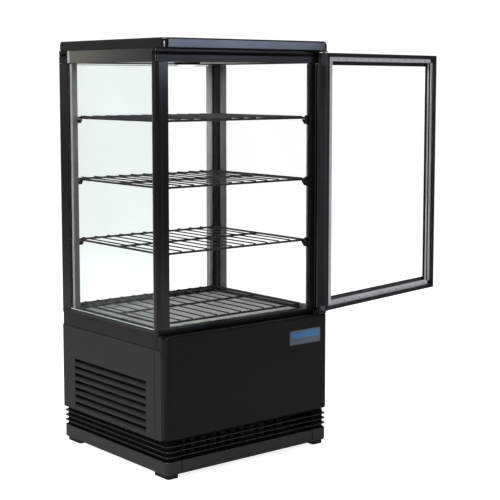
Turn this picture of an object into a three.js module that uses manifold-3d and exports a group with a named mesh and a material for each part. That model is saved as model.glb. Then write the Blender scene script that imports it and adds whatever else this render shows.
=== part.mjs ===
// Countertop glass door merchandiser: a small refrigerated display cabinet with
// insulating glass on four sides, a swing door on pivot pins, wire shelves and a
// machine compartment in the base. Millimetres, +Z up, the door side faces -Y.
// The origin is the centre of the base tray's underside.
import * as THREE from 'three';
import { mergeVertices } from 'three/addons/utils/BufferGeometryUtils.js';
import Module from 'manifold-3d';

const wasm = await Module();
wasm.setup();
const { Manifold, Mesh: MMesh } = wasm;

// ---- driving dimensions (cabinet axes: x from the left face, y from the front face, z from the tray) ----
const W = 436;              // body width
const D = 398;              // body depth
const Z_TRAY = 27;          // top of the plinth tray
const Z_BODY = 71;          // bottom of the front panel
const Z_SIDE = 68;          // bottom of the side panels
const Z_PANEL = 252;        // top of the side panels
const Z_FRONT = 281;        // top of the front panel
const Z_SILL = 290.5;       // top of the lower frame, where the glass stands
const Z_HEAD = 823.5;       // underside of the top frame
const Z_CAP = 850;          // underside of the cap
const Z_TOP = 870;          // top of the cap
const FOOT_H = 10;          // foot height below the tray
const POST_Y = 30;          // plane of the front posts that the door closes on
const POST = 24;            // post width, seen from the inside
const SHELF_Z = [711, 578, 445];  // tops of the adjustable shelves
const RACK_Z = 302;         // top of the bottom rack
// door, stated closed: it spans the full width in front of the posts
const DOOR = { x0: 1, x1: W - 1, y0: 2, y1: 28, z0: 285.6, z1: 846.1, bar: 7.7 };
const PIN = { x: W - 5, y: 15, r: 2.0, bore: 2.3 };
const DOOR_OPEN = 190;      // degrees the door stands open from closed
const PANE = 4;             // glass thickness
const GAP = 0.3;            // assembly clearance

// ---- helpers ----
function toManifold(geo) {
  let g = geo.clone();
  g.deleteAttribute('normal'); g.deleteAttribute('uv');
  g = mergeVertices(g, 1e-5);
  const pos = g.attributes.position, idx = g.index;
  const tri = [];
  for (let i = 0; i < idx.count; i += 3) {
    const a = idx.getX(i), b = idx.getX(i + 1), c = idx.getX(i + 2);
    if (a !== b && b !== c && a !== c) tri.push(a, b, c);
  }
  let m = new Manifold(new MMesh({ numProp: 3, vertProperties: new Float32Array(pos.array), triVerts: new Uint32Array(tri) }));
  return m;
}
function toGeometry(m) {
  const mesh = m.getMesh();
  const g = new THREE.BufferGeometry();
  g.setAttribute('position', new THREE.BufferAttribute(new Float32Array(mesh.vertProperties), 3));
  g.setIndex(new THREE.BufferAttribute(new Uint32Array(mesh.triVerts), 1));
  g.computeVertexNormals();
  return g;
}
const box = (x0, x1, y0, y1, z0, z1) => {
  const g = new THREE.BoxGeometry(x1 - x0, y1 - y0, z1 - z0);
  g.translate((x0 + x1) / 2, (y0 + y1) / 2, (z0 + z1) / 2);
  return toManifold(g);
};
function shapeOf(pts) {
  const s = new THREE.Shape();
  pts.forEach(([x, y], i) => (i ? s.lineTo(x, y) : s.moveTo(x, y)));
  s.closePath();
  return s;
}
// rounded rectangle outline; r may be a number or [x0y0, x1y0, x1y1, x0y1]
function rrPts(x0, y0, x1, y1, r, seg = 4) {
  const rr = Array.isArray(r) ? r : [r, r, r, r];
  const cs = [[x0, y0, 180, rr[0], 1, 1], [x1, y0, 270, rr[1], -1, 1], [x1, y1, 0, rr[2], -1, -1], [x0, y1, 90, rr[3], 1, -1]];
  const out = [];
  for (const [x, y, a0, rad, sx, sy] of cs) {
    if (rad < 1e-6) { out.push([x, y]); continue; }
    const cx = x + sx * rad, cy = y + sy * rad;
    for (let i = 0; i <= seg; i++) {
      const a = (a0 + 90 * i / seg) * Math.PI / 180;
      out.push([cx + rad * Math.cos(a), cy + rad * Math.sin(a)]);
    }
  }
  return out;
}
const extrudeZ = (pts, z0, z1) => {
  const g = new THREE.ExtrudeGeometry(shapeOf(pts), { depth: z1 - z0, bevelEnabled: false, steps: 1 });
  g.translate(0, 0, z0);
  return toManifold(g);
};
const rr = (x0, y0, x1, y1, r, z0, z1, seg = 4) => extrudeZ(rrPts(x0, y0, x1, y1, r, seg), z0, z1);
// prism of an outline in (y, z) run along x, and of an outline in (x, z) run along y
const extrudeX = (pts, x0, x1) => {
  const g = new THREE.ExtrudeGeometry(shapeOf(pts), { depth: x1 - x0, bevelEnabled: false, steps: 1 });
  g.applyMatrix4(new THREE.Matrix4().set(0, 0, 1, x0, 1, 0, 0, 0, 0, 1, 0, 0, 0, 0, 0, 1));
  return toManifold(g);
};
const extrudeY = (pts, y0, y1) => {
  // outline (x, z); the map (a, b, c) -> (a, y1 - c, b) keeps handedness
  const g = new THREE.ExtrudeGeometry(shapeOf(pts), { depth: y1 - y0, bevelEnabled: false, steps: 1 });
  g.applyMatrix4(new THREE.Matrix4().set(1, 0, 0, 0, 0, 0, -1, y1, 0, 1, 0, 0, 0, 0, 0, 1));
  return toManifold(g);
};
// solid of revolution about the local z axis; outline of [radius, z] from axis to axis
function revolve(pts, seg = 24) {
  const v = [], t = [];
  const rows = pts.map(([r, z]) => {
    if (r < 1e-6) { v.push(0, 0, z); return [v.length / 3 - 1]; }
    const row = [];
    for (let i = 0; i < seg; i++) {
      const a = 2 * Math.PI * i / seg;
      v.push(r * Math.cos(a), r * Math.sin(a), z); row.push(v.length / 3 - 1);
    }
    return row;
  });
  for (let k = 0; k + 1 < rows.length; k++) {
    const A = rows[k], B = rows[k + 1];
    for (let i = 0; i < seg; i++) {
      const j = (i + 1) % seg;
      if (A.length === 1 && B.length > 1) t.push(A[0], B[j], B[i]);
      else if (B.length === 1 && A.length > 1) t.push(A[i], A[j], B[0]);
      else if (A.length > 1 && B.length > 1) { t.push(A[i], A[j], B[j]); t.push(A[i], B[j], B[i]); }
    }
  }
  return new Manifold(new MMesh({ numProp: 3, vertProperties: new Float32Array(v), triVerts: new Uint32Array(t) }));
}
const cyl = (r, z0, z1, seg = 24) => revolve([[0, z0], [r, z0], [r, z1], [0, z1]], seg);
const sum = (list) => list.reduce((a, b) => a.add(b));
const mirrorX = (m) => m.transform([-1, 0, 0, 0, 0, 1, 0, 0, 0, 0, 1, 0, W, 0, 0, 1]);
// a run of pipe with a six- or eight-sided section swept along a path
function pipe(points, r, steps, sides = 8) {
  const s = shapeOf(Array.from({ length: sides }, (_, i) => [r * Math.cos(2 * Math.PI * i / sides), r * Math.sin(2 * Math.PI * i / sides)]));
  const path = new THREE.CatmullRomCurve3(points.map((p) => new THREE.Vector3(...p)), false, 'centripetal');
  return toManifold(new THREE.ExtrudeGeometry(s, { steps, bevelEnabled: false, extrudePath: path }));
}

// ---- the assembly ----
const group = new THREE.Group();
group.name = 'glass_door_merchandiser';
const mats = {
  black_steel: [0x17171a, 0.45, 0.5], black_plastic: [0x1b1b1e, 0.5, 0.1], rubber: [0x101010, 0.9, 0],
  white_plastic: [0xeeeeee, 0.5, 0], galvanised: [0xb9bcbf, 0.4, 0.9], aluminium: [0xc9cbce, 0.35, 0.9],
  glass: [0xdfeceb, 0.05, 0], copper: [0xb87333, 0.3, 0.9], lens: [0xffffff, 0.4, 0], badge: [0x3f86b5, 0.4, 0.2],
  grey_steel: [0x5a5c60, 0.5, 0.6], wire: [0x111113, 0.5, 0.2],
};
function node(name, m, mat) {
  if (m.isEmpty && m.isEmpty()) throw new Error('empty ' + name);
  const [color, roughness, metalness] = mats[mat];
  const material = new THREE.MeshStandardMaterial({ color, roughness, metalness, name: mat });
  if (mat === 'glass') { material.transparent = true; material.opacity = 0.3; }
  const mesh = new THREE.Mesh(toGeometry(m.translate([-W / 2, -D / 2, 0])), material);
  mesh.name = name;
  group.add(mesh);
}

// base tray: shallow steel tray with rounded corners, grooved in front for the plinth strip
let tray = rr(2, 2, W - 2, D - 2, 12, 0, Z_TRAY, 5).subtract(rr(4.5, 4.5, W - 4.5, D - 4.5, 9.5, 3, Z_TRAY + 5, 5));
tray = tray.subtract(box(38, 39.2, 0, 3, -1, Z_TRAY + 1)).subtract(box(391.4, 392.6, 0, 3, -1, Z_TRAY + 1));
// pressed bead that stiffens the floor, round the flat middle of its underside
tray = tray.subtract(rr(42, 62, W - 42, D - 62, 10, -1, 1, 4).subtract(rr(45, 65, W - 45, D - 65, 7, -2, 2, 4)));
node('base_tray', tray, 'black_steel');

// feet: rubber blocks under the corners
const foot = (x0, y0) => rr(x0, y0, x0 + 28, y0 + 50, 6, -FOOT_H, -GAP, 3);
node('foot_fl', foot(8, 8), 'rubber');
node('foot_fr', foot(W - 36, 8), 'rubber');
node('foot_bl', foot(8, D - 58), 'rubber');
node('foot_br', foot(W - 36, D - 58), 'rubber');

// fin grille: three horizontal fins round a set-back wall that is pierced front and back for air
{
  let wall = rr(9, 9, W - 9, D - 9, 7, Z_TRAY + GAP, Z_SIDE - GAP, 3);
  for (const zc of [36.5, 47.4, 58.3]) wall = wall.add(rr(1.5, 1.5, W - 1.5, D - 1.5, 12, zc - 1.2, zc + 1.2, 5));
  wall = wall.subtract(rr(11.5, 11.5, W - 11.5, D - 11.5, 5, 0, 100, 3));
  const wins = [];
  for (let i = 0; i < 4; i++) {
    const x = 30 + i * 94;
    for (const [za, zb] of [[28.8, 35.0], [38.0, 45.9], [48.9, 56.8], [59.8, 65.6]]) wins.push([x, x + 84, za, zb]);
  }
  for (const [a, b, za, zb] of wins) wall = wall.subtract(box(a, b, 5, 14, za, zb)).subtract(box(a, b, D - 14, D - 5, za, zb));
  node('fin_grille', wall, 'black_plastic');
}

// front panel: moulded pan that covers the machine compartment and turns the two front corners
{
  const s = shapeOf(rrPts(3.5, 3.5, W - 3.5, 60, [11, 11, 0, 0], 5));
  const g = new THREE.ExtrudeGeometry(s, { depth: Z_FRONT - Z_BODY - 6, bevelEnabled: true, bevelThickness: 3, bevelSize: 3, bevelSegments: 3 });
  g.translate(0, 0, Z_BODY + 3);
  let p = toManifold(g);
  p = p.subtract(box(-5, W + 5, 18.5, 100, 0, 400));
  p = p.subtract(rr(3.1, 3.1, W - 3.1, 90, [11.4, 11.4, 0, 0], Z_BODY + 3, Z_FRONT - 3, 5));
  node('front_panel', p, 'black_plastic');
}
// badge: thin raised plate on the front panel's upper right, clear of it by a glue line
node('badge', extrudeY(rrPts(323.5, 223, 411, 254, 1.5, 2), -0.9, 0.25), 'badge');

// side panels: pressed steel with seven louvres; the slit is at the top of each blade
{
  const y0 = 18.8, y1 = D - 19.4, t = 1.5;
  let p = box(0, t, y0, y1, Z_SIDE, Z_PANEL);
  // folded hems along the four edges stiffen the sheet
  p = p.add(box(0, 9, y0, y0 + t, Z_SIDE, Z_PANEL)).add(box(0, 9, y1 - t, y1, Z_SIDE, Z_PANEL));
  p = p.add(box(0, 9, y0, y1, Z_PANEL - t, Z_PANEL)).add(box(0, 8.6, y0, y1, Z_SIDE, Z_SIDE + t));
  p = p.subtract(box(-1, 0.6, 40.5, 41.5, Z_SIDE - 1, Z_PANEL + 1));
  for (let k = 0; k < 7; k++) {
    const s = 180 - 15.83 * k;          // slit height
    p = p.subtract(box(-1, t + 0.2, 71, 343, s - 7.5, s + 1.6));
    p = p.add(extrudeY([[0, s - 8.0], [1.4, s - 8.0], [7.0, s - 0.6], [5.8, s - 0.1]], 70.5, 343.5));
    p = p.add(extrudeY([[0.2, s - 8.0], [1.4, s - 8.0], [7.0, s - 0.6], [5.8, s + 2.0], [0.2, s + 2.0]], 70.0, 71.2));
    p = p.add(extrudeY([[0.2, s - 8.0], [1.4, s - 8.0], [7.0, s - 0.6], [5.8, s + 2.0], [0.2, s + 2.0]], 342.8, 344.0));
  }
  node('side_panel_left', p, 'black_steel');
  node('side_panel_right', mirrorX(p), 'black_steel');
}

// rear panel: pan that turns both back corners, with slots and openings for the controls
const TS = { x: 330, z: 222 }, SW = { x: 378, z: 222 }, GL = { x: 60, z: 96 };
{
  let p = rr(0.3, 300, W - 0.3, D, [0, 0, 9, 9], Z_SIDE, Z_PANEL, 4).subtract(box(-5, W + 5, 290, D - 19, 0, 400));
  p = p.subtract(rr(1.8, 290, W - 1.8, D - 1.5, [0, 0, 7.5, 7.5], Z_SIDE + 1.5, Z_PANEL - 1.5, 4));
  for (const x of [90, 232]) for (let k = 0; k < 7; k++) p = p.subtract(box(x, x + 116, D - 4, D + 2, 92 + 15 * k, 97 + 15 * k));
  p = p.subtract(box(TS.x - 19, TS.x + 19, D - 4, D + 2, TS.z - 14, TS.z + 14));
  p = p.subtract(box(SW.x - 7, SW.x + 7, D - 4, D + 2, SW.z - 10.5, SW.z + 10.5));
  p = p.subtract(cyl(9, -4, 4, 20).rotate([90, 0, 0]).translate([GL.x, D, GL.z]));
  node('rear_panel', p, 'black_steel');
}
// thermostat: plate and housing behind the panel, with a knob on its spindle hole
{
  let b = extrudeY(rrPts(TS.x - 22, TS.z - 17, TS.x + 22, TS.z + 17, 3, 2), D + GAP, D + 2.3);
  b = b.add(box(TS.x - 17, TS.x + 17, D - 26, D + 1, TS.z - 12, TS.z + 12));
  b = b.subtract(cyl(3.4, -8, 12, 16).rotate([90, 0, 0]).translate([TS.x, D - 1, TS.z]));
  node('thermostat_body', b, 'black_plastic');
  // knob: skirted, with a spindle that runs in the plate's hole and a raised pointer
  let k = revolve([[0, -9], [3.0, -9], [3.0, 0.8], [14, 0.8], [14, 3.2], [11, 4.4], [10.4, 13], [9.2, 14], [0, 14]], 16)
    .add(box(-1.1, 1.1, 0, 11.6, 12.5, 15));
  k = k.rotate([-90, 0, 0]).translate([TS.x, D + 2.3, TS.z]);
  node('thermostat_knob', k, 'black_plastic');
}
// light switch: rocker on its own pivot, set in the rear panel's cut-out
{
  let r = extrudeX([[-5, -9.2], [1.5, -9.2], [3.6, -8.6], [1.7, 0], [2.6, 8.6], [1.0, 9.2], [-5, 5]], -6, 6);
  r = r.translate([SW.x, D, SW.z]);
  node('light_rocker', r, 'black_plastic');
}
// cable gland: where the power cord enters
{
  let g = revolve([[0, -10], [8.6, -10], [8.6, 0.3], [12, 0.3], [12, 4], [9, 5], [7.5, 14], [0, 14]], 14)
    .subtract(cyl(4, -12, 16, 10));
  node('power_inlet', g.rotate([-90, 0, 0]).translate([GL.x, D, GL.z]), 'black_plastic');
}

// evaporator tub: insulated box under the deck, with a drain boss
{
  let t = box(30, W - 30, 55, D - 30, 178, 282.6).subtract(box(44, W - 44, 69, D - 44, 192, 300));
  node('evaporator_tub', t, 'white_plastic');
}
// deck plate: floor of the display space, slotted at the front and back for the air
{
  let d = rr(28, 53, W - 28, D - 28, 3, 283, 285, 2);
  for (let i = 0; i < 8; i++) {
    const x = 56 + i * 41.5;
    d = d.subtract(box(x, x + 33, 70, 78, 280, 290)).subtract(box(x, x + 33, D - 60, D - 48, 280, 290));
  }
  node('deck_plate', d, 'aluminium');
}
// evaporator: fin pack on two tubes, with a bracket that carries the fan motor
{
  let e = box(70, 350, 96, 150, 193, 262);
  for (let i = 0; i < 13; i++) e = e.subtract(box(80 + i * 20.6, 90 + i * 20.6, 90, 143, 196, 270));
  e = e.add(box(176, 252, 149, 156, 196, 268).subtract(cyl(33, -10, 10, 24).rotate([90, 0, 0]).translate([214, 152, 232]))
    .subtract(box(190, 238, 140, 160, 180, 200)));
  e = e.add(box(174, 178, 150, 196, 193, 264)).add(box(250, 254, 150, 196, 193, 264));
  e = e.add(box(176, 252, 190, 194, 224, 240));
  e = e.add(cyl(15, 0, 20, 16).rotate([90, 0, 0]).translate([214, 193, 232]));
  node('evaporator', e, 'aluminium');
}
// axial fan wheel: hub with pitched blades, axis along local z
function fanWheel(r, hubR, hubH, n, bladeW, pitch) {
  let f = revolve([[0, 0], [hubR, 0], [hubR, hubH - 2], [hubR - 2, hubH], [0, hubH]], 16);
  for (let i = 0; i < n; i++) {
    const outline = [[0, -bladeW * 0.35], [r * 0.55, -bladeW * 0.5], [r - hubR * 0.5, -bladeW * 0.55], [r - hubR * 0.45, bladeW * 0.25], [r * 0.5, bladeW * 0.5], [0, bladeW * 0.35]];
    let b = extrudeZ(outline, -0.9, 0.9).rotate([pitch, 0, 0]).translate([hubR * 0.45, 0, hubH * 0.5]);
    f = f.add(b.rotate([0, 0, i * 360 / n]));
  }
  return f;
}
node('evap_fan_blade', fanWheel(31, 10, 10, 5, 20, 28).rotate([90, 0, 0]).translate([214, 170, 232]), 'black_plastic');

// compressor: welded shell on a foot plate, with its electrical box
{
  let c = revolve([[0, 9], [44, 9], [55, 20], [58, 45], [58, 95], [54, 118], [42, 136], [22, 146], [0, 149]], 20);
  c = c.add(rr(-78, -56, 78, 56, 14, 6.5, 10, 3));
  for (const [x, y] of [[-66, -44], [66, -44], [-66, 44], [66, 44]]) c = c.add(cyl(9, 3.3, 16, 8).translate([x, y, 0]));
  c = c.add(box(48, 76, -24, 24, 40, 92));
  node('compressor', c.translate([126, 285, 0]), 'grey_steel');
}
// condenser: finned coil behind the front grille
{
  let c = box(62, 332, 32, 64, 6, 150);
  for (let i = 0; i < 10; i++) c = c.subtract(box(70 + i * 26, 82 + i * 26, 28, 58, 12, 144));
  for (const z of [45, 110]) c = c.add(box(58, 336, 40, 47, z - 3.5, z + 3.5));
  node('condenser', c, 'grey_steel');
}
// condenser fan: square frame with four spokes and the motor, and its wheel
const CF = { x: 197, y: 66, z: 82 };
{
  let f = box(-66, 66, -66, 66, 0, 28).subtract(cyl(60, -5, 40, 20));
  f = f.add(box(-63, 63, -3, 3, 24, 28)).add(box(-3, 3, -63, 63, 24, 28)).add(cyl(20, 22, 44, 12));
  node('cond_fan_frame', f.rotate([-90, 0, 0]).translate([CF.x, CF.y, CF.z]), 'black_plastic');
  node('cond_fan_blade', fanWheel(56, 17, 15, 5, 36, 27).rotate([-90, 0, 0]).translate([CF.x, CF.y + 5, CF.z]), 'black_plastic');
}
// drip tray: evaporates the defrost water above the tray floor
node('drip_tray', box(236, 396, 238, 362, 3.3, 26).subtract(box(238.5, 393.5, 240.5, 359.5, 5.8, 40)), 'black_plastic');
// refrigerant line: discharge pipe from the shell to the coil with the filter drier brazed in
{
  const z = 128;
  let l = pipe([[178, 240, 124], [204, 214, 136], [262, 190, z], [340, 168, z], [372, 128, z], [372, 84, z], [364, 52, z - 2], [340, 44, z - 2]], 3, 18, 6);
  l = l.add(cyl(9, -32, 32, 10).rotate([90, 0, 0]).translate([372, 108, z]));
  node('refrigerant_line', l, 'copper');
}

// lower frame: sill ring that carries posts and glass; stepped back in front for the door
{
  let f = rr(1.5, 18.9, W - 1.5, D - 1.5, [3, 3, 9, 9], Z_PANEL + GAP, Z_FRONT - 0.4, 4)
    .subtract(box(-5, W + 5, 0, 29, 0, 400).intersect(box(12, W - 12, 0, 29, 0, 400)));
  f = f.add(rr(1.5, POST_Y, W - 1.5, D - 1.5, [9, 9, 6, 6], Z_FRONT - 2, Z_SILL, 4));
  f = f.subtract(rr(27, 52, W - 27, D - 27, 4, 0, 400, 3));
  node('lower_frame', f, 'black_plastic');
}
// top frame: ring over posts and glass, with a groove along the header
{
  let f = rr(1.5, POST_Y, W - 1.5, D - 1.5, [9, 9, 6, 6], Z_HEAD, Z_CAP - GAP, 4);
  f = f.subtract(rr(27, 43.5, W - 27, D - 27, 4, 0, 900, 3));
  f = f.subtract(box(12, W - 12, 20, POST_Y + 2, 837.5, 843.8));
  node('top_frame', f, 'black_plastic');
}
// posts: front pair have a landing flange for the door seal; each post carries three shelf rests
{
  const z0 = Z_SILL + GAP, z1 = Z_HEAD - GAP;
  const arc = (cx, cy, r, a0, a1, n) => Array.from({ length: n + 1 }, (_, i) => {
    const a = (a0 + (a1 - a0) * i / n) * Math.PI / 180; return [cx + r * Math.cos(a), cy + r * Math.sin(a)];
  });
  const fp = [...arc(1.5 + 9, POST_Y + 9, 9, 180, 270, 5), [31, POST_Y], [31, POST_Y + 3.6], [25.2, POST_Y + 3.6], [25.2, 42.6], [1.5, 42.6]];
  let f = extrudeZ(fp, z0, z1);
  let b = extrudeZ([[1.5, D - 38.4], [25.5, D - 38.4], [25.5, D - 1.5], ...arc(1.5 + 6, D - 7.5, 6, 90, 180, 4)], z0, z1);
  for (const s of SHELF_Z) {
    const zt = s - 7.3;
    // front rest: gusset behind the post, against the glass side
    f = f.add(extrudeX([[42, zt], [53, zt], [53, zt - 3], [42, zt - 11]], 25.0, 33.5)).add(box(24.6, 33.5, 36, 42.8, zt - 11, zt + 9));
    b = b.add(extrudeX([[D - 37.2, zt], [D - 45, zt], [D - 45, zt - 3], [D - 37.2, zt - 9]], 25.0, 33.5)).add(box(23.2, 33.5, D - 38.3, D - 36.9, zt - 9, zt));
  }
  node('post_fl', f, 'black_steel'); node('post_fr', mirrorX(f), 'black_steel');
  node('post_bl', b, 'black_steel'); node('post_br', mirrorX(b), 'black_steel');
}
// cap: moulded lid with rounded corners and a rounded upper edge, hollow below
{
  const s = shapeOf(rrPts(3.5, 4, W - 3.5, D - 3.5, 11, 5));
  const g = new THREE.ExtrudeGeometry(s, { depth: 40, bevelEnabled: true, bevelThickness: 2.5, bevelSize: 2.5, bevelSegments: 3 });
  g.translate(0, 0, Z_TOP - 42.5);
  let c = toManifold(g).subtract(box(-5, W + 5, -5, D + 5, 700, Z_CAP));
  c = c.subtract(rr(4, 4.5, W - 4, D - 4, 10.5, Z_CAP - 5, Z_TOP - 3, 5));
  node('top_cap', c, 'black_plastic');
}
// ceiling of the display space and its lamp
node('ceiling_panel', rr(27.6, 44.1, W - 27.6, D - 27.6, 3, 826, 829, 2), 'white_plastic');
{
  const LX = 209, LY = 207;
  node('lamp_housing', revolve([[0, 821.8], [23.5, 821.8], [23.5, 820.2], [27, 820.2], [28, 821.4], [28, 825.7], [0, 825.7]], 20).translate([LX, LY, 0]), 'black_plastic');
  node('lamp_lens', revolve([[0, 817.4], [14, 818.1], [22, 819.8], [23.1, 821.5], [0, 821.5]], 20).translate([LX, LY, 0]), 'lens');
}

// insulating glass: outer pane, edge spacer and inner pane on three sides
{
  const z0 = Z_SILL + GAP, z1 = Z_HEAD - GAP, ya = 43, yb = D - 38.8;
  const spY = (a0, a1, b0, b1, w) => box(a0, a1, b0, b1, z0 + 1.5, z1 - 1.5).subtract(box(a0 - 1, a1 + 1, b0 + w, b1 - w, z0 + 1.5 + w, z1 - 1.5 - w));
  const panes = { outer: box(2.3, 2.3 + PANE, ya, yb, z0, z1), inner: box(20.8, 20.8 + PANE, ya, yb, z0, z1), spacer: spY(6.6, 20.5, ya + 1.5, yb - 1.5, 8) };
  for (const [k, m] of Object.entries(panes)) {
    const mat = k === 'spacer' ? 'aluminium' : 'glass';
    node(`left_glass_${k}`, m, mat); node(`right_glass_${k}`, mirrorX(m), mat);
  }
  const xa = 26, xb = W - 26;
  node('back_glass_outer', box(xa, xb, D - 6.3, D - 2.3, z0, z1), 'glass');
  node('back_glass_inner', box(xa, xb, D - 24.8, D - 20.8, z0, z1), 'glass');
  node('back_glass_spacer', box(xa + 1.5, xb - 1.5, D - 20.5, D - 6.6, z0 + 1.5, z1 - 1.5)
    .subtract(box(xa + 9.5, xb - 9.5, D - 30, D, z0 + 9.5, z1 - 9.5)), 'aluminium');
}

// door: four frame bars round an insulating glass unit, with a seal on its inner face
{
  const { x0, x1, y0, y1, z0, z1, bar } = DOOR;
  const swing = (m) => m.translate([-PIN.x, -PIN.y, 0]).rotate([0, 0, DOOR_OPEN]).translate([PIN.x, PIN.y, 0]);
  const groove = 17.5;      // depth of the joint line between the outer shell and the inner part
  // outline of the hinge bar: rounded outer corners and the joint groove
  const hb = [[x1 - bar, y0], [x1 - 3, y0], [x1 - 1, y0 + 0.9], [x1, y0 + 3], [x1, groove - 0.7], [x1 - 1.2, groove - 0.7], [x1 - 1.2, groove + 0.7], [x1, groove + 0.7], [x1, y1 - 2], [x1 - 1.6, y1], [x1 - bar, y1]];
  let hinge = extrudeZ(hb, z0, z1);
  hinge = hinge.subtract(cyl(PIN.bore, z1 - 11, z1 + 5, 12).translate([PIN.x, PIN.y, 0])).subtract(cyl(PIN.bore, z0 - 5, z0 + 11, 12).translate([PIN.x, PIN.y, 0]));
  const latch = extrudeZ(hb.map(([x, y]) => [x0 + x1 - x, y]).reverse(), z0, z1);
  const xr0 = x0 + bar + 0.05, xr1 = x1 - bar - 0.05;
  const tb = [[y0, z1 - bar], [y1, z1 - bar], [y1, z1 - 2], [y1 - 2, z1], [groove + 0.7, z1], [groove + 0.7, z1 - 1.2], [groove - 0.7, z1 - 1.2], [groove - 0.7, z1], [y0 + 3, z1], [y0 + 0.9, z1 - 1], [y0, z1 - 3]];
  const top = extrudeX(tb, xr0, xr1);
  const bottom = extrudeX(tb.map(([y, z]) => [y, z0 + z1 - z]).reverse(), xr0, xr1);
  node('door_stile_hinge', swing(hinge), 'black_plastic');
  node('door_stile_latch', swing(latch), 'black_plastic');
  node('door_rail_top', swing(top), 'black_plastic');
  node('door_rail_bottom', swing(bottom), 'black_plastic');
  const a = x0 + bar + GAP, b = x1 - bar - GAP, c = z0 + bar + GAP, d = z1 - bar - GAP;
  node('door_glass_outer', swing(box(a, b, y0 + 1, y0 + 1 + PANE, c, d)), 'glass');
  node('door_glass_inner', swing(box(a, b, y1 - 2 - PANE, y1 - 2, c, d)), 'glass');
  node('door_spacer', swing(box(a + 0.2, b - 0.2, y0 + 1.3 + PANE, y1 - 2.3 - PANE, c + 0.2, d - 0.2)
    .subtract(box(a + 9.2, b - 9.2, y0, y1, c + 9.2, d - 9.2))), 'aluminium');
  const gz = (m0, w) => box(x0 + m0, x1 - m0, y1 + 0.1, y1 + 1.6, z0 + m0, z1 - m0).subtract(box(x0 + m0 + w, x1 - m0 - w, y1 - 5, y1 + 5, z0 + m0 + w, z1 - m0 - w));
  node('door_gasket', swing(gz(1.8, 6.6)), 'rubber');
}
// pivot brackets: plates with pins that enter the hinge bar at its top and bottom
{
  const plate = (z0, z1) => rr(W - 24, 2.5, W - 2, POST_Y - 0.4, [3, 5, 2, 2], z0, z1, 3);
  node('hinge_top', plate(847, Z_CAP - GAP).add(cyl(PIN.r, 836.5, 848, 12).translate([PIN.x, PIN.y, 0])), 'grey_steel');
  node('hinge_bottom', plate(Z_FRONT + GAP, 284.5).add(cyl(PIN.r, 283, 295, 12).translate([PIN.x, PIN.y, 0])), 'grey_steel');
}

// wire shelves: edge frame with cross wires on top and one stiffening wire below
function shelf(zTop, x0, x1, y0, y1, n) {
  const w = 4.6, t = 2.8;
  let s = rr(x0, y0, x1, y1, 8, zTop - t - w + 0.6, zTop - t + 0.6, 2).subtract(rr(x0 + w, y0 + w, x1 - w, y1 - w, 4, zTop - 40, zTop + 10, 2));
  for (let i = 0; i < n; i++) {
    const x = x0 + 14 + (x1 - x0 - 28) * i / (n - 1);
    s = s.add(box(x - t / 2, x + t / 2, y0 + 0.8, y1 - 0.8, zTop - t, zTop));
  }
  return s.add(box(x0 + 1, x1 - 1, (y0 + y1) / 2 - w / 2, (y0 + y1) / 2 + w / 2, zTop - t - w + 0.6, zTop - t + 0.5));
}
node('shelf_top', shelf(SHELF_Z[0], 25.8, W - 25.8, 44.5, D - 28.5, 12), 'wire');
node('shelf_middle', shelf(SHELF_Z[1], 25.8, W - 25.8, 44.5, D - 28.5, 12), 'wire');
node('shelf_lower', shelf(SHELF_Z[2], 25.8, W - 25.8, 44.5, D - 28.5, 12), 'wire');
// bottom rack: the same grid on four short legs that stand on the deck
{
  let r = shelf(RACK_Z, 29, W - 29, 54, D - 29, 12);
  for (const [x, y] of [[31, 60], [W - 35.6, 60], [31, D - 40], [W - 35.6, D - 40]]) r = r.add(box(x, x + 4.6, y, y + 4.6, 285.3, RACK_Z - 3));
  node('bottom_rack', r, 'wire');
}

export default group;
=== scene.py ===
import math

import bmesh
import bpy
from mathutils import Matrix, Vector


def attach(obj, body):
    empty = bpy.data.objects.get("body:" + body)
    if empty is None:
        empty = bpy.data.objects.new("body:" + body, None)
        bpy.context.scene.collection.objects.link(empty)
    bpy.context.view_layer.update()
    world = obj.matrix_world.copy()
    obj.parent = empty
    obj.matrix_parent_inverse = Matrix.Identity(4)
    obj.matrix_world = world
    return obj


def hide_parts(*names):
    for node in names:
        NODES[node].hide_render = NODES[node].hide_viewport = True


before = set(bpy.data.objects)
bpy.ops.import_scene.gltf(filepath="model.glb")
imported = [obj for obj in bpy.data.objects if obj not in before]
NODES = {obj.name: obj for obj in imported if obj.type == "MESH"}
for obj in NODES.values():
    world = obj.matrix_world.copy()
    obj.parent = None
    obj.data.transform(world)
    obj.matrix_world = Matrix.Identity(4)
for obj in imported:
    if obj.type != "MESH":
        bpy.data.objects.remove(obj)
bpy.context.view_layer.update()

# cabinet axes in millimetres: x from the left face, y from the front face, z from the tray's underside
W, D = 436.0, 398.0
Z_SILL, Z_HEAD, Z_CAP, Z_TOP = 290.5, 823.5, 850.0, 870.0
SHELF_Z = (711.0, 578.0, 445.0)
RACK_Z = 302.0
DX0, DX1, DY0, DY1, DZ0, DZ1, BAR = 1.0, 435.0, 2.0, 28.0, 285.6, 846.1, 7.7
PIN = (431.0, 15.0)
OPEN = math.radians(190.0)


def frame_m(p):
    return ((p[0] - W / 2) * 0.001, (p[1] - D / 2) * 0.001, p[2] * 0.001)


def swing(p):
    """A point of the closed door, where the door stands open."""
    dx, dy = p[0] - PIN[0], p[1] - PIN[1]
    c, s = math.cos(OPEN), math.sin(OPEN)
    return (PIN[0] + c * dx - s * dy, PIN[1] + s * dx + c * dy, p[2])


# ---------------------------------------------------------------- materials
def nt_of(name):
    m = bpy.data.materials.new(name)
    m.use_nodes = True
    nt = m.node_tree
    nt.nodes.clear()
    out = nt.nodes.new("ShaderNodeOutputMaterial")
    return m, nt, out


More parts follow.
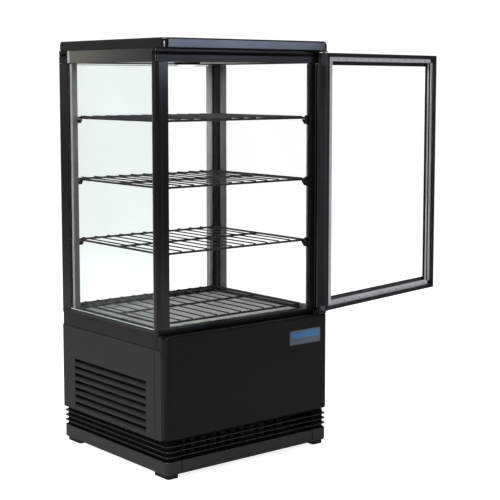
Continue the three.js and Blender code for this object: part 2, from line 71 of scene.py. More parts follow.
def coords(nt, scale=(1, 1, 1)):
    tc = nt.nodes.new("ShaderNodeTexCoord")
    mp = nt.nodes.new("ShaderNodeMapping")
    mp.inputs["Scale"].default_value = scale
    nt.links.new(tc.outputs["Object"], mp.inputs["Vector"])
    return mp.outputs["Vector"]


def noise(nt, vec, scale, detail=2.0, rough=0.5):
    n = nt.nodes.new("ShaderNodeTexNoise")
    n.inputs["Scale"].default_value = scale
    n.inputs["Detail"].default_value = detail
    n.inputs["Roughness"].default_value = rough
    nt.links.new(vec, n.inputs["Vector"])
    return n.outputs["Fac"]


def ramp(nt, fac, stops):
    r = nt.nodes.new("ShaderNodeValToRGB")
    e = r.color_ramp.elements
    e[0].position, e[0].color = stops[0][0], (*stops[0][1], 1)
    e[1].position, e[1].color = stops[-1][0], (*stops[-1][1], 1)
    for pos, col in stops[1:-1]:
        x = e.new(pos)
        x.color = (*col, 1)
    nt.links.new(fac, r.inputs["Fac"])
    return r.outputs["Color"]


def span(nt, fac, lo, hi):
    m = nt.nodes.new("ShaderNodeMapRange")
    m.inputs["From Min"].default_value = 0.25
    m.inputs["From Max"].default_value = 0.75
    m.inputs["To Min"].default_value = lo
    m.inputs["To Max"].default_value = hi
    nt.links.new(fac, m.inputs["Value"])
    return m.outputs["Result"]


def bump(nt, height, strength, distance, normal=None):
    b = nt.nodes.new("ShaderNodeBump")
    b.inputs["Strength"].default_value = strength
    b.inputs["Distance"].default_value = distance
    nt.links.new(height, b.inputs["Height"])
    if normal is not None:
        nt.links.new(normal, b.inputs["Normal"])
    return b.outputs["Normal"]


def surface(name, dark, light, rough, metallic=0.0, grain=900.0, bump_s=0.12, bump_d=0.0002,
            patch=9.0, spec=0.5, coat=0.0, coat_r=0.1, stretch=(1, 1, 1)):
    """A finish with a slow tone drift, a varying gloss and a fine grain."""
    m, nt, out = nt_of(name)
    p = nt.nodes.new("ShaderNodeBsdfPrincipled")
    nt.links.new(p.outputs[0], out.inputs["Surface"])
    v = coords(nt, stretch)
    slow = noise(nt, v, patch, 3.0, 0.55)
    fine = noise(nt, v, grain, 2.0, 0.6)
    mix = nt.nodes.new("ShaderNodeMath")
    mix.operation = "MULTIPLY_ADD"
    nt.links.new(fine, mix.inputs[0])
    mix.inputs[1].default_value = 0.35
    half = nt.nodes.new("ShaderNodeMath")
    half.operation = "MULTIPLY"
    nt.links.new(slow, half.inputs[0])
    half.inputs[1].default_value = 0.65
    nt.links.new(half.outputs[0], mix.inputs[2])
    nt.links.new(ramp(nt, mix.outputs[0], [(0.3, dark), (0.7, light)]), p.inputs["Base Color"])
    nt.links.new(span(nt, slow, rough[0], rough[1]), p.inputs["Roughness"])
    nt.links.new(bump(nt, fine, bump_s, bump_d), p.inputs["Normal"])
    p.inputs["Metallic"].default_value = metallic
    p.inputs["Specular IOR Level"].default_value = spec
    p.inputs["Coat Weight"].default_value = coat
    p.inputs["Coat Roughness"].default_value = coat_r
    return m


def glass(name, tint, f0=0.04, f1=0.9, r0=0.0, r1=0.03):
    """A clear sheet: light goes straight through, and the surface mirrors more at a slant."""
    m, nt, out = nt_of(name)
    mix = nt.nodes.new("ShaderNodeMixShader")
    lw = nt.nodes.new("ShaderNodeLayerWeight")
    lw.inputs["Blend"].default_value = 0.5
    pw = nt.nodes.new("ShaderNodeMath")
    pw.operation = "POWER"
    nt.links.new(lw.outputs["Facing"], pw.inputs[0])
    pw.inputs[1].default_value = 5.0
    ma = nt.nodes.new("ShaderNodeMath")
    ma.operation = "MULTIPLY_ADD"
    nt.links.new(pw.outputs[0], ma.inputs[0])
    ma.inputs[1].default_value = f1
    ma.inputs[2].default_value = f0
    tr = nt.nodes.new("ShaderNodeBsdfTransparent")
    gl = nt.nodes.new("ShaderNodeBsdfGlossy")
    v = coords(nt)
    smear = noise(nt, v, 6.0, 3.0, 0.6)
    nt.links.new(span(nt, smear, r0, r1), gl.inputs["Roughness"])
    nt.links.new(ramp(nt, smear, [(0.3, tuple(0.99 * c for c in tint)), (0.7, tint)]), tr.inputs["Color"])
    gl.inputs["Color"].default_value = (1, 1, 1, 1)
    nt.links.new(ma.outputs[0], mix.inputs[0])
    nt.links.new(tr.outputs[0], mix.inputs[1])
    nt.links.new(gl.outputs[0], mix.inputs[2])
    nt.links.new(mix.outputs[0], out.inputs["Surface"])
    return m


M = {}
M["panel"] = surface("front_moulding", (0.0022, 0.0022, 0.0025), (0.0042, 0.0041, 0.0047), (0.20, 0.27), grain=1500, bump_s=0.05, bump_d=0.0001, spec=0.20)
M["cap"] = surface("cap_moulding", (0.0020, 0.0020, 0.0022), (0.0040, 0.0039, 0.0042), (0.14, 0.20), grain=1500, bump_s=0.03, bump_d=0.0001, spec=0.55)
M["post"] = surface("post_finish", (0.0042, 0.0038, 0.0039), (0.0070, 0.0064, 0.0066), (0.13, 0.20), grain=1200, bump_s=0.04, bump_d=0.0001, spec=0.5)
M["steel"] = surface("powder_coat", (0.0148, 0.0136, 0.0126), (0.0216, 0.0200, 0.0185), (0.44, 0.56), grain=1100, bump_s=0.22, bump_d=0.00025, spec=0.36)
M["plinth"] = surface("plinth_coat", (0.0230, 0.0206, 0.0210), (0.0308, 0.0278, 0.0285), (0.40, 0.52), grain=1100, bump_s=0.18, bump_d=0.0002, spec=0.4)
M["grille"] = surface("grille_plastic", (0.0075, 0.0075, 0.0078), (0.0125, 0.0125, 0.0130), (0.20, 0.30), grain=1300, bump_s=0.08, bump_d=0.00012, spec=0.5)
M["frame"] = surface("frame_plastic", (0.0038, 0.0035, 0.0035), (0.0064, 0.0060, 0.0060), (0.26, 0.36), grain=1200, bump_s=0.10, bump_d=0.00015, spec=0.30)
M["doorbar"] = surface("door_frame_plastic", (0.0125, 0.0115, 0.0130), (0.0185, 0.0172, 0.0192), (0.30, 0.42), grain=1200, bump_s=0.12, bump_d=0.00015, spec=0.5)
M["hinge"] = surface("hinge_black", (0.010, 0.010, 0.011), (0.020, 0.020, 0.022), (0.3, 0.42), metallic=0.3, grain=900, bump_s=0.12)
M["header"] = surface("header_finish", (0.0036, 0.0035, 0.0036), (0.0062, 0.0060, 0.0062), (0.26, 0.36), grain=1200, bump_s=0.1, bump_d=0.00012, spec=0.36)
M["key"] = surface("corner_key", (0.085, 0.085, 0.092), (0.13, 0.13, 0.14), (0.4, 0.52), grain=1200, bump_s=0.12, bump_d=0.0001, spec=0.4)
M["bright"] = surface("door_spacer_metal", (0.60, 0.60, 0.62), (0.74, 0.74, 0.76), (0.36, 0.48), metallic=0.1, grain=1600, bump_s=0.10, bump_d=0.0001, patch=14)
M["inner"] = surface("inner_plastic", (0.0040, 0.0040, 0.0040), (0.0075, 0.0075, 0.0078), (0.5, 0.65), grain=900, bump_s=0.12, bump_d=0.0002, spec=0.3)
M["rubber"] = surface("foot_rubber", (0.012, 0.0115, 0.0115), (0.024, 0.022, 0.022), (0.7, 0.85), grain=800, bump_s=0.3, bump_d=0.0003, spec=0.3)
M["seal"] = surface("seal_rubber", (0.008, 0.008, 0.0085), (0.014, 0.014, 0.015), (0.5, 0.62), grain=1500, bump_s=0.12, bump_d=0.00015, spec=0.35)
M["wire"] = surface("coated_wire", (0.006, 0.006, 0.0062), (0.014, 0.014, 0.0145), (0.26, 0.42), grain=700, bump_s=0.15, bump_d=0.00015, spec=0.5)
M["alu"] = surface("spacer_aluminium", (0.34, 0.34, 0.34), (0.46, 0.46, 0.465), (0.32, 0.45), metallic=0.2, grain=1600, bump_s=0.10, bump_d=0.0001, patch=14)
M["bar"] = surface("side_spacer_bar", (0.115, 0.112, 0.100), (0.165, 0.160, 0.145), (0.25, 0.36), metallic=0.15, grain=1600, bump_s=0.08, bump_d=0.0001, patch=14)
# near-black condenser finish: painted shade, darkened to stand in for the shade behind the fins
M["painted_shade_coil"] = surface("condenser_fins", (0.0020, 0.0020, 0.0021), (0.0050, 0.0050, 0.0054), (0.45, 0.6), metallic=0.1, grain=900, bump_s=0.2)
# near-black finish: painted shade in grooves and behind slits and openings; also the dark plinth joints
M["joint_and_painted_shade"] = surface("joint_black_and_painted_shade", (0.0010, 0.0010, 0.0011), (0.0022, 0.0022, 0.0024), (0.5, 0.65), grain=900, bump_s=0.1, bump_d=0.0002, spec=0.12)
M["dot"] = surface("vent_hole_painted_shade", (0.010, 0.010, 0.011), (0.02, 0.02, 0.022), (0.5, 0.7), grain=2000)
M["deck"] = surface("deck_aluminium", (0.46, 0.50, 0.46), (0.60, 0.64, 0.60), (0.30, 0.42), metallic=0.25, grain=700, bump_s=0.1, bump_d=0.0002, patch=11, stretch=(1, 6, 1))
M["coil"] = surface("coil_aluminium", (0.35, 0.36, 0.37), (0.5, 0.51, 0.52), (0.35, 0.5), metallic=0.85, grain=900, bump_s=0.15)
M["white"] = surface("white_liner", (0.74, 0.75, 0.75), (0.82, 0.83, 0.83), (0.4, 0.5), grain=900, bump_s=0.06, bump_d=0.0001)
M["grey"] = surface("grey_steel", (0.012, 0.0125, 0.0135), (0.026, 0.0265, 0.028), (0.45, 0.58), metallic=0.2, grain=800, bump_s=0.15)
M["zinc"] = surface("bracket_zinc", (0.20, 0.20, 0.205), (0.30, 0.30, 0.31), (0.3, 0.42), metallic=0.8, grain=900, bump_s=0.12)
M["copper"] = surface("copper_tube", (0.10, 0.048, 0.028), (0.17, 0.085, 0.048), (0.4, 0.55), metallic=0.6, grain=700, bump_s=0.1)
M["frit"] = surface("glass_border", (0.006, 0.006, 0.0065), (0.011, 0.011, 0.012), (0.12, 0.2), grain=2500, bump_s=0.03, bump_d=0.00005, spec=0.5)
M["edge"] = surface("glass_edge", (0.30, 0.40, 0.36), (0.48, 0.58, 0.53), (0.2, 0.3), grain=900, bump_s=0.05)
M["badge_grey"] = surface("badge_frame", (0.10, 0.11, 0.13), (0.15, 0.16, 0.19), (0.3, 0.42), metallic=0.3, grain=1500, bump_s=0.08, bump_d=0.0001)
M["badge_blue"] = surface("badge_band", (0.030, 0.15, 0.32), (0.050, 0.22, 0.44), (0.3, 0.4), grain=1500, bump_s=0.08, bump_d=0.0001)
M["glass_side"] = glass("side_glass", (0.984, 0.992, 0.993), 0.012, 0.6)
M["glass_door"] = glass("door_glass", (0.999, 1.0, 0.9995), 0.004, 0.4)


def band_material():
    """The printed border over the side glass, glossy; its colour runs from brown-grey at the back to blue-grey at
    the front, and this run is a painted reflection.
    """
    m, nt, out = nt_of("side_border")
    p = nt.nodes.new("ShaderNodeBsdfPrincipled")
    nt.links.new(p.outputs[0], out.inputs["Surface"])
    tc = nt.nodes.new("ShaderNodeTexCoord")
    sep = nt.nodes.new("ShaderNodeSeparateXYZ")
    nt.links.new(tc.outputs["Object"], sep.inputs[0])
    # ramp along Y from the front to the back: painted reflection
    mr = nt.nodes.new("ShaderNodeMapRange")
    mr.inputs["From Min"].default_value = -0.16
    mr.inputs["From Max"].default_value = 0.17
    nt.links.new(sep.outputs["Y"], mr.inputs["Value"])
    v = coords(nt)
    slow = noise(nt, v, 20.0, 3.0)
    add = nt.nodes.new("ShaderNodeMath")
    add.operation = "MULTIPLY_ADD"
    nt.links.new(slow, add.inputs[0])
    add.inputs[1].default_value = 0.12
    nt.links.new(mr.outputs["Result"], add.inputs[2])
    nt.links.new(ramp(nt, add.outputs[0], [(0.05, (0.018, 0.019, 0.023)), (0.5, (0.050, 0.049, 0.044)), (1.0, (0.105, 0.102, 0.090))]), p.inputs["Base Color"])
    nt.links.new(span(nt, slow, 0.16, 0.26), p.inputs["Roughness"])
    nt.links.new(bump(nt, noise(nt, v, 1500.0), 0.04, 0.0001), p.inputs["Normal"])
    p.inputs["Specular IOR Level"].default_value = 0.5
    return m


def lens_material():
    m, nt, out = nt_of("lamp_lens_lit")
    p = nt.nodes.new("ShaderNodeBsdfPrincipled")
    nt.links.new(p.outputs[0], out.inputs["Surface"])
    v = coords(nt)
    n = noise(nt, v, 60.0, 2.0)
    nt.links.new(ramp(nt, n, [(0.3, (0.86, 0.88, 0.88)), (0.7, (0.95, 0.96, 0.96))]), p.inputs["Base Color"])
    nt.links.new(span(nt, n, 0.25, 0.4), p.inputs["Roughness"])
    nt.links.new(bump(nt, noise(nt, v, 800.0), 0.1, 0.0002), p.inputs["Normal"])
    p.inputs["Emission Color"].default_value = (1.0, 0.98, 0.95, 1)
    p.inputs["Emission Strength"].default_value = 1.0
    return m


M["band"] = band_material()
M["lens"] = lens_material()


# ---------------------------------------------------------------- mesh building
class Build:
    """Collects bevelled solids, in cabinet millimetres, into one object."""

    def __init__(self, name, mats, move=None):
        self.name, self.mats, self.move = name, mats, move
        self.bm = bmesh.new()

    def _add(self, verts, faces, mat, bevel, seg, angle):
        bm = bmesh.new()
        vs = [bm.verts.new(v) for v in verts]
        for f in faces:
            bm.faces.new([vs[i] for i in f])
        bmesh.ops.recalc_face_normals(bm, faces=bm.faces)
        if bevel > 0:
            edges = [e for e in bm.edges if len(e.link_faces) == 2 and e.calc_face_angle(0) > math.radians(angle)]
            if edges:
                bmesh.ops.bevel(bm, geom=edges, offset=bevel, segments=seg, profile=0.5, affect="EDGES", clamp_overlap=True)
        index = {}
        for v in bm.verts:
            index[v] = self.bm.verts.new(v.co)
        for f in bm.faces:
            try:
                g = self.bm.faces.new([index[v] for v in f.verts])
                g.material_index = mat
            except ValueError:
                pass
        bm.free()
        return self

    def box(self, x0, x1, y0, y1, z0, z1, mat=0, bevel=0.35, seg=2):
        v = [(x, y, z) for z in (z0, z1) for y in (y0, y1) for x in (x0, x1)]
        f = [(0, 2, 3, 1), (4, 5, 7, 6), (0, 1, 5, 4), (2, 6, 7, 3), (0, 4, 6, 2), (1, 3, 7, 5)]
        return self._add(v, f, mat, bevel, seg, 30)

    def prism(self, pts, a0, a1, axis="z", mat=0, bevel=0.35, seg=2, angle=30):
        """An outline run along an axis: (x, y) along z, (y, z) along x, (x, z) along y."""
        def at(p, a):
            return {"z": (p[0], p[1], a), "x": (a, p[0], p[1]), "y": (p[0], a, p[1])}[axis]
        n = len(pts)
        v = [at(p, a0) for p in pts] + [at(p, a1) for p in pts]
        f = [tuple(range(n)), tuple(range(2 * n - 1, n - 1, -1))]
        f += [(i, (i + 1) % n, n + (i + 1) % n, n + i) for i in range(n)]
        return self._add(v, f, mat, bevel, seg, angle)

    def ring(self, outer, inner, a0, a1, axis="z", mat=0, bevel=0.35, seg=2, angle=30):
        """A closed band between two outlines with the same number of points."""
        def at(p, a):
            return {"z": (p[0], p[1], a), "x": (a, p[0], p[1]), "y": (p[0], a, p[1])}[axis]
        n = len(outer)
        v = [at(p, a0) for p in outer] + [at(p, a1) for p in outer] + [at(p, a0) for p in inner] + [at(p, a1) for p in inner]
        f = []
        for i in range(n):
            j = (i + 1) % n
            f += [(i, j, n + j, n + i), (2 * n + j, 2 * n + i, 3 * n + i, 3 * n + j),
                  (j, i, 2 * n + i, 2 * n + j), (n + i, n + j, 3 * n + j, 3 * n + i)]
        return self._add(v, f, mat, bevel, seg, angle)

    def loft(self, rings, mat=0, cap0=True, cap1=True, closed=True):
        """A skin through rings of points, with flat ends."""
        n = len(rings[0])
        v = [p for r in rings for p in r]
        f = []
        for k in range(len(rings) - 1):
            for i in range(n if closed else n - 1):
                j = (i + 1) % n
                f.append((k * n + i, k * n + j, (k + 1) * n + j, (k + 1) * n + i))
        if cap0:
            f.append(tuple(range(n - 1, -1, -1)))
        if cap1:
            f.append(tuple((len(rings) - 1) * n + i for i in range(n)))
        return self._add(v, f, mat, 0, 1, 30)

    def tube(self, pts, r, seg=10, mat=0, closed=False):
        """A round wire along points."""
        P = [Vector(p) for p in pts]
        n = len(P)
        rings, ref = [], None
        for i in range(n):
            a = P[i - 1] if (i > 0 or closed) else P[i]
            b = P[(i + 1) % n] if (i < n - 1 or closed) else P[i]
            t = (b - a).normalized()
            if ref is None:
                ref = Vector((0, 0, 1)) if abs(t.z) < 0.9 else Vector((1, 0, 0))
            u = (ref - t * ref.dot(t)).normalized()
            w = t.cross(u)
            k = 1.0
            if 0 < i < n - 1 or closed:
                c = max(0.3, math.cos(((P[i] - a).angle(b - P[i], 0.0)) / 2)) if (P[i] - a).length > 1e-9 and (b - P[i]).length > 1e-9 else 1.0
                k = 1.0 / c
            ref = u
            rings.append([tuple(P[i] + (u * math.cos(2 * math.pi * q / seg) + w * math.sin(2 * math.pi * q / seg)) * r) for q in range(seg)])
        if closed:
            v = [p for rr_ in rings for p in rr_]
            f = []
            for k in range(n):
                m = (k + 1) % n
                for i in range(seg):
                    j = (i + 1) % seg
                    f.append((k * seg + i, k * seg + j, m * seg + j, m * seg + i))
            return self._add(v, f, mat, 0, 1, 30)
        # rounded ends
        def end(ring, centre, out):
            return [tuple(Vector(p) + (Vector(centre) - Vector(p)) * 0.35 + out * r * 0.3) for p in ring]
        t0 = (P[0] - P[1]).normalized()
        t1 = (P[-1] - P[-2]).normalized()
        rings = [end(rings[0], P[0], t0)] + rings + [end(rings[-1], P[-1], t1)]
        return self.loft(rings, mat)

    def revolve(self, prof, centre, axis="z", seg=48, mat=0):
        """A turned solid: outline of (radius, height) from axis to axis."""
        rings, f, v = [], [], []
        for r, h in prof:
            if r < 1e-6:
                v.append((0, 0, h)); rings.append([len(v) - 1])
            else:
                row = []
                for i in range(seg):
                    a = 2 * math.pi * i / seg
                    v.append((r * math.cos(a), r * math.sin(a), h)); row.append(len(v) - 1)
                rings.append(row)
        for k in range(len(rings) - 1):
            A, B = rings[k], rings[k + 1]
            for i in range(seg):
                j = (i + 1) % seg
                if len(A) == 1 and len(B) > 1:
                    f.append((A[0], B[i], B[j]))
                elif len(B) == 1 and len(A) > 1:
                    f.append((A[i], B[0], A[j]))
                elif len(A) > 1 and len(B) > 1:
                    f.append((A[i], A[j], B[j], B[i]))
        def turn(p):
            if axis == "z":
                q = p
            elif axis == "y":
                q = (p[0], p[2], -p[1])
            else:
                q = (p[2], p[0], p[1])
            return (q[0] + centre[0], q[1] + centre[1], q[2] + centre[2])
        return self._add([turn(p) for p in v], f, mat, 0, 1, 30)

    def done(self, body, slot, *replaces, smooth=32):
        mesh = bpy.data.meshes.new(self.name)
        for v in self.bm.verts:
            p = tuple(v.co)
            if self.move:
                p = self.move(p)
            v.co = frame_m(p)
        bmesh.ops.recalc_face_normals(self.bm, faces=self.bm.faces)
        self.bm.to_mesh(mesh)
        self.bm.free()
        for m in self.mats:
            mesh.materials.append(M[m])
        for p in mesh.polygons:
            p.use_smooth = True
        mesh.set_sharp_from_angle(angle=math.radians(smooth))
        ob = bpy.data.objects.new(self.name, mesh)
        bpy.context.scene.collection.objects.link(ob)
        wn = ob.modifiers.new("flat_faces", "WEIGHTED_NORMAL")
        wn.mode = "FACE_AREA"
        wn.weight = 90
        wn.keep_sharp = True
        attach(ob, body)
        if replaces:
            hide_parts(*replaces)
        return ob


def rr(x0, y0, x1, y1, r, seg=10):
    """Rounded rectangle, anticlockwise from the low corner; r is one radius or one for each corner."""
    r = r if isinstance(r, (list, tuple)) else (r,) * 4
    out = []
    for cx, cy, a0, q in ((x0, y0, 180, r[0]), (x1, y0, 270, r[1]), (x1, y1, 0, r[2]), (x0, y1, 90, r[3])):
        if q < 1e-6:
            out.append((cx, cy))
            continue
        mx, my = cx + (q if cx == x0 else -q), cy + (q if cy == y0 else -q)
        for i in range(seg + 1):
            a = math.radians(a0 + 90 * i / seg)
            out.append((mx + q * math.cos(a), my + q * math.sin(a)))
    return out


def mirror(pts):
    return [(W - p[0], *p[1:]) for p in reversed(pts)]


# ---------------------------------------------------------------- cap
def cap():
    b = Build("cap_shell", ["cap", "frame"])
    def turn(x, y):
        """How far a point of the outline lies inside a corner's arc, 0 at its ends and 1 in its middle."""
        dx = max(14.0 - x, x - (W - 14.0), 0.0) / 13.0
        dy = max(14.5 - y, y - (D - 14.5), 0.0) / 13.0
        return min(1.0, 2.0 * dx * dy)
    base = rr(1, 1.5, W - 1, D - 1.5, 13.0, 14)
    rings = []
    for d, z in ((1.2, Z_CAP), (0.35, Z_CAP + 0.15), (0.0, Z_CAP + 0.9), (0.0, Z_CAP + 1.6)):
        rings.append([(x, y, z) for x, y in rr(1 + d, 1.5 + d, W - 1 - d, D - 1.5 - d, 13.0 - d, 14)])
    for i in range(0, 11):
        a = math.radians(90 * i / 10)
        ring = []
        for (x, y) in base:
            rf = 3.2 + 5.6 * turn(x, y)
            d = rf * (1 - math.cos(a))
            cx, cy = min(max(x, 14.0), W - 14.0), min(max(y, 14.5), D - 14.5)
            k = 1.0 - d / 13.0
            ring.append((cx + (x - cx) * k, cy + (y - cy) * k, Z_TOP - rf + rf * math.sin(a)))
        rings.append(ring)
    rings.append([(14.0 + (x - 14.0) if 14.0 <= x <= W - 14.0 else (14.0 if x < 14 else W - 14.0), min(max(y, 14.5), D - 14.5), Z_TOP) for x, y in base])
    b.loft(rings, cap0=False)
    # lip round the open underside, and its inner wall
    inner = [[(x, y, z) for x, y in rr(1 + d, 1.5 + d, W - 1 - d, D - 1.5 - d, max(13.0 - d, 1), 12)] for d, z in ((1.2, Z_CAP), (3.2, Z_CAP), (3.4, Z_CAP + 14))]
    b.loft(inner, cap0=False, cap1=False)
    b.done("cabinet", "black_plastic", "top_cap", smooth=40)


cap()


# ---------------------------------------------------------------- top frame and glass borders
def top_frame():
    b = Build("header_frame", ["header", "post", "joint_and_painted_shade"])
    o, i = rr(1.5, 30, W - 1.5, D - 1.5, (4, 4, 6, 6), 8), rr(27, 43.5, W - 27, D - 27, 4, 8)
    # three courses of the ring: the front has a groove along it between two of them
    b.ring(o, i, Z_HEAD, Z_HEAD + 14, bevel=0.5)
    b.ring(o, i, Z_HEAD + 20.3, Z_CAP - 0.3, bevel=0.5)
    # the groove's floor is near-black: painted shade in the groove
    o2 = rr(1.9, 31.8, W - 1.9, D - 1.9, (3.4, 3.4, 6, 6), 8)
    b.ring(o2, i, Z_HEAD + 13.6, Z_HEAD + 20.7, mat=2, bevel=0)
    b.done("cabinet", "black_plastic", "top_frame")
    for side in (0, 1):
        x = (lambda v: v) if side == 0 else (lambda v: W - v)
        c = Build(f"side_border_{'lr'[side]}", ["band", "alu", "edge"])
        a0, a1 = sorted((x(1.28), x(1.62)))
        c.box(a0, a1, 43.2, D - 48.6, Z_HEAD + 0.3, Z_CAP - 0.5, bevel=0.08, seg=1)
        c.box(a0, a1, D - 48.4, D - 40.4, Z_HEAD + 0.3, Z_CAP - 0.5, mat=1, bevel=0.08, seg=1)
        # polished edge of the pane along the sill
        e0, e1 = sorted((x(2.0), x(2.5)))
        c.box(e0, e1, 43.5, D - 39.2, Z_SILL + 0.3, Z_SILL + 2.4, mat=2, bevel=0.08, seg=1)
        c.done("cabinet", "black_plastic")


top_frame()


# ---------------------------------------------------------------- posts
def posts():
    z0, z1 = Z_SILL + 0.3, Z_HEAD - 0.3

    def arc(cx, cy, r, a0, a1, n):
        return [(cx + r * math.cos(math.radians(a0 + (a1 - a0) * i / n)), cy + r * math.sin(math.radians(a0 + (a1 - a0) * i / n))) for i in range(n + 1)]

    fp = [(1.5, 38.6), *arc(4.5, 36.4, 3, 183, 226, 6), *arc(9.3, 33.0, 3, 236, 270, 6), (13.5, 30), (13.9, 30.7), (15.3, 30.7), (15.7, 30), (31, 30), (31, 33.6), (25.2, 33.6), (25.2, 42.6), (1.5, 42.6)]
    bp = [(1.5, D - 38.4), (25.5, D - 38.4), (25.5, D - 1.5), *arc(7.5, D - 7.5, 6, 90, 180, 12)]
    for name, outline, flip, front in (("fl", fp, False, True), ("fr", fp, True, True), ("bl", bp, False, False), ("br", bp, True, False)):
        m = mirror if flip else (lambda p: p)
        X = (lambda v: W - v) if flip else (lambda v: v)
        b = Build(f"corner_post_{name}", ["post", "inner"])
        b.prism(m(outline), z0, z1, bevel=0.3, angle=25)
        # slotted strip on the inner face and the clip-on shelf rests
        for s in SHELF_Z:
            zt = s - 7.3
            a, c = sorted((X(25.2), X(33.4)))
            if front:
                prof = [(42.2, zt + 8.4), (44.0, zt + 8.4), (44.6, zt), (52.7, zt), (52.7, zt - 2.7), (45.0, zt - 10.6), (42.2, zt - 10.6)]
            else:
                prof = [(D - 37.2, zt), (D - 37.2, zt - 8.7), (D - 40.0, zt - 8.7), (D - 44.8, zt - 2.8), (D - 44.8, zt)]
            b.prism(prof, a, c, axis="x", mat=1, bevel=0.5)
            e0, e1 = sorted((X(24.8), X(33.4)))
            if front:
                b.box(e0, e1, 36.2, 42.7, zt - 10.8, zt + 8.8, mat=1, bevel=0.5)
        # row of hook slots, drawn as near-black marks: painted shade in the slot openings
        k = 0
        z = z0 + 22
        while z < z1 - 14:
            s0, s1 = sorted((X(25.15), X(25.65)))
            if front:
                b.box(s0, s1, 37.0, 39.0, z, z + 8, mat=1, bevel=0.1, seg=1)
            else:
                b.box(s0, s1, D - 22.0, D - 20.0, z, z + 8, mat=1, bevel=0.1, seg=1)
            z += 19
            k += 1
        b.done("cabinet", "black_steel", f"post_{name}")


posts()


# ---------------------------------------------------------------- lower frame, deck
def lower_frame():
    b = Build("sill_frame", ["frame", "post"])
    i = rr(27, 52, W - 27, D - 27, 4, 8)
    low = rr(1.5, 30, W - 1.5, D - 1.5, (3, 3, 9, 9), 8)
    b.ring(low, i, 252.3, 280.6, bevel=0.6)
    b.ring(rr(1.5, 30, W - 1.5, D - 1.5, (5, 5, 6, 6), 8), i, 279.0, Z_SILL, bevel=0.7)
    # ears that run forward beside the front panel's top corners
    b.box(1.5, 12, 18.9, 36, 252.3, 280.6, bevel=0.8, seg=3)
    b.box(W - 12, W - 1.5, 18.9, 36, 252.3, 280.6, bevel=0.8, seg=3)
    # glazing bead under the side panes
    for x0, x1 in ((1.0, 2.4), (W - 2.4, W - 1.0)):
        b.box(x0, x1, 43.5, D - 39, Z_SILL - 6.5, Z_SILL - 0.8, mat=1, bevel=0.4)
    b.done("cabinet", "black_plastic", "lower_frame")


lower_frame()


# ---------------------------------------------------------------- front panel
def front_panel():
    b = Build("front_cover", ["panel"])
    path = [(0.5, 18.5)]
    path += rr(0.5, 0.5, W - 0.5, 60, (13, 13, 0, 0), 14)[:30]
    pts = [(0.5, 18.5), (0.5, 16.0)] + path[1:] + [(W - 0.5, 16.0), (W - 0.5, 18.5)]
    clean = []
    for p in pts:
        if not clean or (Vector(p) - Vector(clean[-1])).length > 1e-4:
            clean.append(p)
    pts = clean
    # outward normals along the run
    nor = []
    for k, p in enumerate(pts):
        a = Vector(pts[max(k - 1, 0)])
        c = Vector(pts[min(k + 1, len(pts) - 1)])
        t = (c - a).normalized()
        nor.append((t.y, -t.x))
    z0, z1 = 71.0, 281.0
    prof = [(8.0, z0 + 0.6), (3.2, z0 + 0.6), (3.0, z0)]
    for i in range(1, 7):
        a = math.radians(90 * i / 6)
        prof.append((3.0 * (1 - math.sin(a)), z0 + 3.0 * (1 - math.cos(a))))
    # shallow styling crease below the top edge
    prof += [(0.0, z0 + 3.6), (0.0, 250.9), (0.0, 251.3), (0.14, 251.7), (0.22, 252.0), (0.14, 252.3), (0.0, 252.7), (0.0, 253.1)]
    prof += [(0.0, z1 - 4.7), (0.0, z1 - 4.2)]
    for i in range(1, 9):
        a = math.radians(90 * i / 8)
        prof.append((4.2 * (1 - math.cos(a)), z1 - 4.2 + 4.2 * math.sin(a)))
    prof += [(12.0, z1), (16.6, z1 - 0.2)]
    rings = []
    for d, z in prof:
        ring = []
        for (x, y), (nx, ny) in zip(pts, nor):
            yy = y - ny * d
            xx = x - nx * d
            ring.append((xx, min(yy, 18.5), z))
        rings.append(ring)
    b.loft(rings, cap0=False, cap1=False, closed=False)
    b.done("cabinet", "black_plastic", "front_panel", smooth=50)
    # badge: brushed plate with a blue band, no marks on it
    g = Build("badge_plate", ["badge_grey", "badge_blue"])
    g.prism(rr(323.5, 223, 411, 254, 1.5, 5), -0.75, 0.4, axis="y", bevel=0.25)
    g.prism(rr(328.5, 236.5, 406.5, 250.5, 0.8, 4), -0.95, -0.6, axis="y", mat=1, bevel=0.12)
    g.box(328.5, 406.5, -0.9, -0.6, 227.2, 228.4, mat=1, bevel=0.1, seg=1)
    g.done("cabinet", "badge", "badge")


front_panel()


